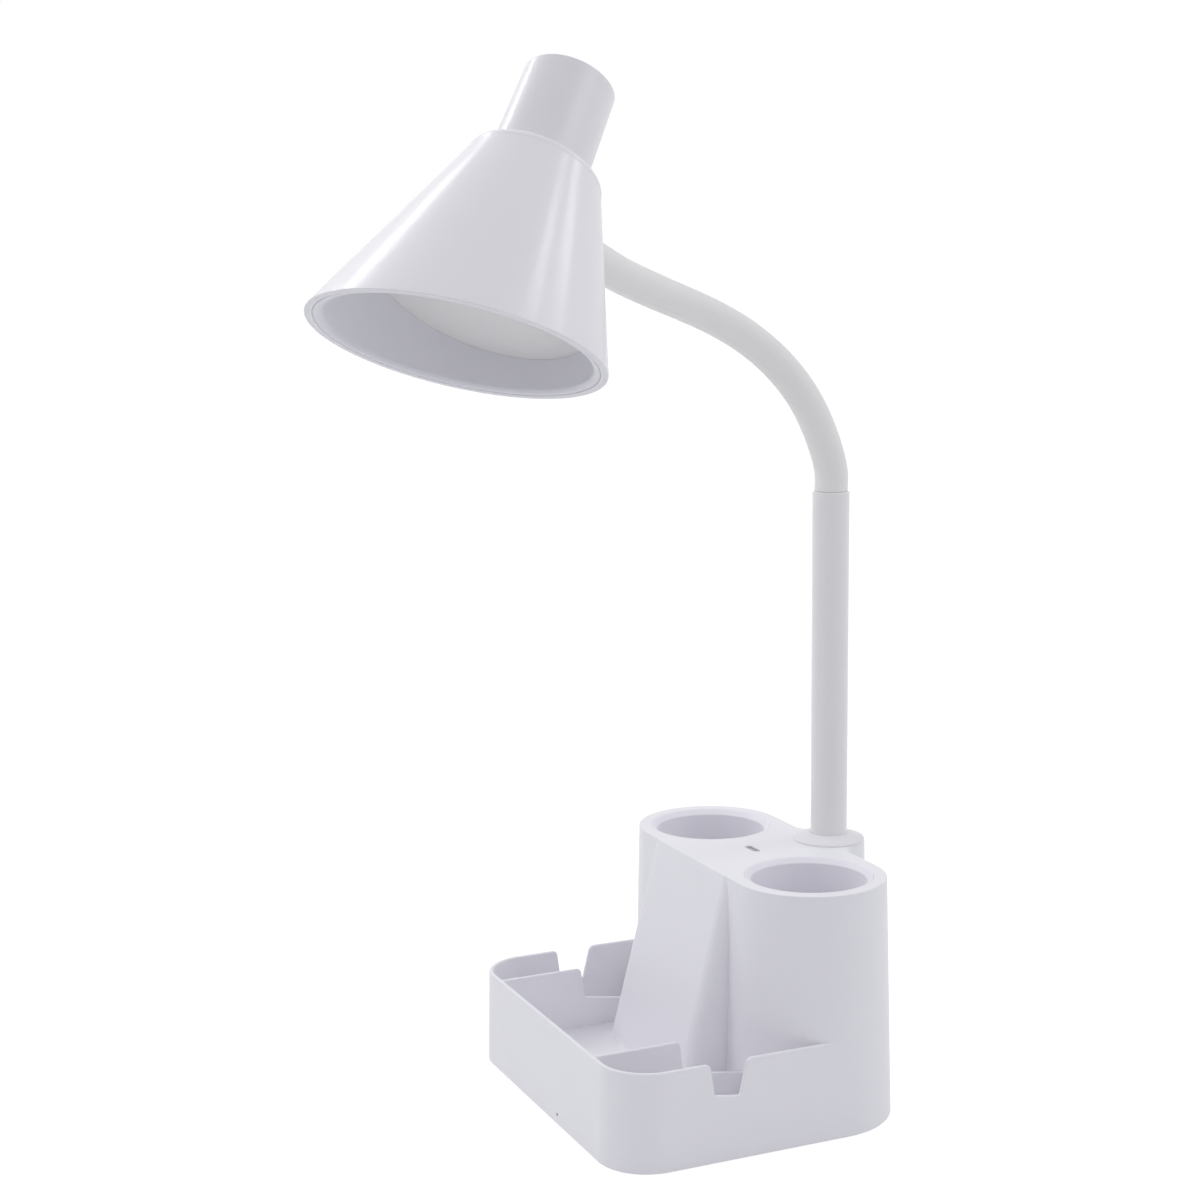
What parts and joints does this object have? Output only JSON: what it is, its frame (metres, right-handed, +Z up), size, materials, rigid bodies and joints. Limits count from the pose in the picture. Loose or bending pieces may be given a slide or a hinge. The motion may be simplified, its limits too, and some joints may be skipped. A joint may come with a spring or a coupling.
{
  "type": "desk lamp",
  "caption": "LED desk lamp: cone shade with cap on a gooseneck and pole; organiser base with two pen cups, leaning phone rest, tray and tablet notches",
  "frame": {"origin": "centre of the middle rubber foot's face on the desk, midway between the pen cups", "axes": "+Z up along the pole, -Y towards the tray's front, +X to the user's right"},
  "size_m": [0.2268, 0.2941, 0.476],
  "materials": {
    "aluminium": "pressed aluminium",
    "cable_jacket": "black cable jacket",
    "circuit_board": "green solder mask on glass-fibre board",
    "diffuser_plastic": "opal translucent plastic",
    "electrode_copper": "copper foil",
    "foot_rubber": "dark grey rubber",
    "housing_plastic": "satin moulded plastic, lavender white",
    "inlet_plastic": "black plastic",
    "led_board_white": "white solder mask on aluminium-core board",
    "lens_plastic": "smoked clear plastic",
    "liner_plastic": "satin moulded plastic, lavender white",
    "nut_steel": "zinc-plated steel",
    "pole_paint": "white powder coat on steel tube",
    "reflector_white": "white reflective plastic",
    "shade_gloss": "glossy moulded plastic, lavender white",
    "shade_lining_plastic": "satin white plastic",
    "sleeve_rubber": "matt white silicone sleeve",
    "steel": "zinc-plated steel"
  },
  "bodies": {
    "base": {"base_housing": "housing_plastic", "pen_cup_liner_right": "liner_plastic", "pen_cup_liner_left": "liner_plastic", "usb_c_socket": "steel", "usb_board": "circuit_board", "collar": "pole_paint", "pole_tube": "pole_paint", "pole_washer": "steel", "pole_nut": "nut_steel", "pole_lead": "cable_jacket", "bottom_cover": "housing_plastic", "cover_screw_1": "steel", "cover_screw_2": "steel", "cover_screw_3": "steel", "cover_screw_4": "steel", "cover_screw_5": "steel", "cover_screw_6": "steel", "rubber_foot_1": "foot_rubber", "rubber_foot_2": "foot_rubber", "rubber_foot_3": "foot_rubber", "rubber_foot_4": "foot_rubber", "rubber_foot_middle": "foot_rubber", "ballast_plate": "steel", "main_board": "circuit_board", "board_screw_1": "steel", "board_screw_2": "steel", "touch_pad": "electrode_copper", "indicator_lens": "lens_plastic", "dc_inlet": "inlet_plastic", "neck_sleeve_01": "sleeve_rubber", "neck_core_01": "steel"},
    "link_01": {"neck_sleeve_02": "sleeve_rubber", "neck_core_02": "steel"},
    "link_02": {"neck_sleeve_03": "sleeve_rubber", "neck_core_03": "steel"},
    "link_03": {"neck_sleeve_04": "sleeve_rubber", "neck_core_04": "steel"},
    "link_04": {"neck_sleeve_05": "sleeve_rubber", "neck_core_05": "steel"},
    "link_05": {"neck_sleeve_06": "sleeve_rubber", "neck_core_06": "steel"},
    "link_06": {"neck_sleeve_07": "sleeve_rubber", "neck_core_07": "steel"},
    "link_07": {"neck_sleeve_08": "sleeve_rubber", "neck_core_08": "steel"},
    "link_08": {"neck_sleeve_09": "sleeve_rubber", "neck_core_09": "steel"},
    "link_09": {"neck_sleeve_10": "sleeve_rubber", "neck_core_10": "steel"},
    "head": {"neck_sleeve_11": "sleeve_rubber", "neck_core_11": "steel", "head_nut": "nut_steel", "head_cap": "shade_gloss", "shade_shell": "shade_gloss", "shade_lining": "shade_lining_plastic", "diffuser": "diffuser_plastic", "reflector": "reflector_white", "led_board": "led_board_white", "heat_sink": "aluminium"}
  },
  "joints": [
    {"name": "neck_joint_01", "type": "hinge", "parent": "base", "child": "link_01", "pos_m": [0, 0.0391, 0.2921], "axis": [1, 0, 0], "range_deg": [-12, 5]},
    {"name": "neck_joint_02", "type": "hinge", "parent": "link_01", "child": "link_02", "pos_m": [0, 0.033, 0.3111], "axis": [0, 0.9184, 0.3955], "range_deg": [-9, 9]},
    {"name": "neck_joint_03", "type": "hinge", "parent": "link_02", "child": "link_03", "pos_m": [0, 0.02339, 0.32858], "axis": [1, 0.0081, 0], "range_deg": [-12, 5]},
    {"name": "neck_joint_04", "type": "hinge", "parent": "link_03", "child": "link_04", "pos_m": [0.00018, 0.01022, 0.34357], "axis": [-0.0252, 0.6829, 0.7301], "range_deg": [-9, 9]},
    {"name": "neck_joint_05", "type": "hinge", "parent": "link_04", "child": "link_05", "pos_m": [0.00107, -0.00558, 0.35571], "axis": [0.996, 0.0888, 0], "range_deg": [-12, 9]},
    {"name": "neck_joint_06", "type": "hinge", "parent": "link_05", "child": "link_06", "pos_m": [0.00315, -0.02309, 0.36505], "axis": [-0.0646, 0.4099, 0.9099], "range_deg": [-10, 10]},
    {"name": "neck_joint_07", "type": "hinge", "parent": "link_06", "child": "link_07", "pos_m": [0.00671, -0.04136, 0.37223], "axis": [0.9737, 0.2278, 0], "range_deg": [-12, 9]},
    {"name": "neck_joint_08", "type": "hinge", "parent": "link_07", "child": "link_08", "pos_m": [0.0117, -0.05959, 0.37859], "axis": [-0.0958, 0.3087, 0.9463], "range_deg": [-10, 10]},
    {"name": "neck_joint_09", "type": "hinge", "parent": "link_08", "child": "link_09", "pos_m": [0.0179, -0.0774, 0.38512], "axis": [0.9371, 0.3491, 0], "range_deg": [-12, 9]},
    {"name": "neck_joint_10", "type": "hinge", "parent": "link_09", "child": "head", "pos_m": [0.02466, -0.09441, 0.39304], "axis": [-0.1595, 0.3054, 0.9388], "range_deg": [-10, 10]}
  ],
  "couplings": [
    {"joint": "neck_joint_03", "follows": "neck_joint_01", "ratio": 1},
    {"joint": "neck_joint_04", "follows": "neck_joint_02", "ratio": 1},
    {"joint": "neck_joint_07", "follows": "neck_joint_05", "ratio": 1},
    {"joint": "neck_joint_08", "follows": "neck_joint_06", "ratio": 1},
    {"joint": "neck_joint_09", "follows": "neck_joint_05", "ratio": 1},
    {"joint": "neck_joint_10", "follows": "neck_joint_06", "ratio": 1}
  ]
}
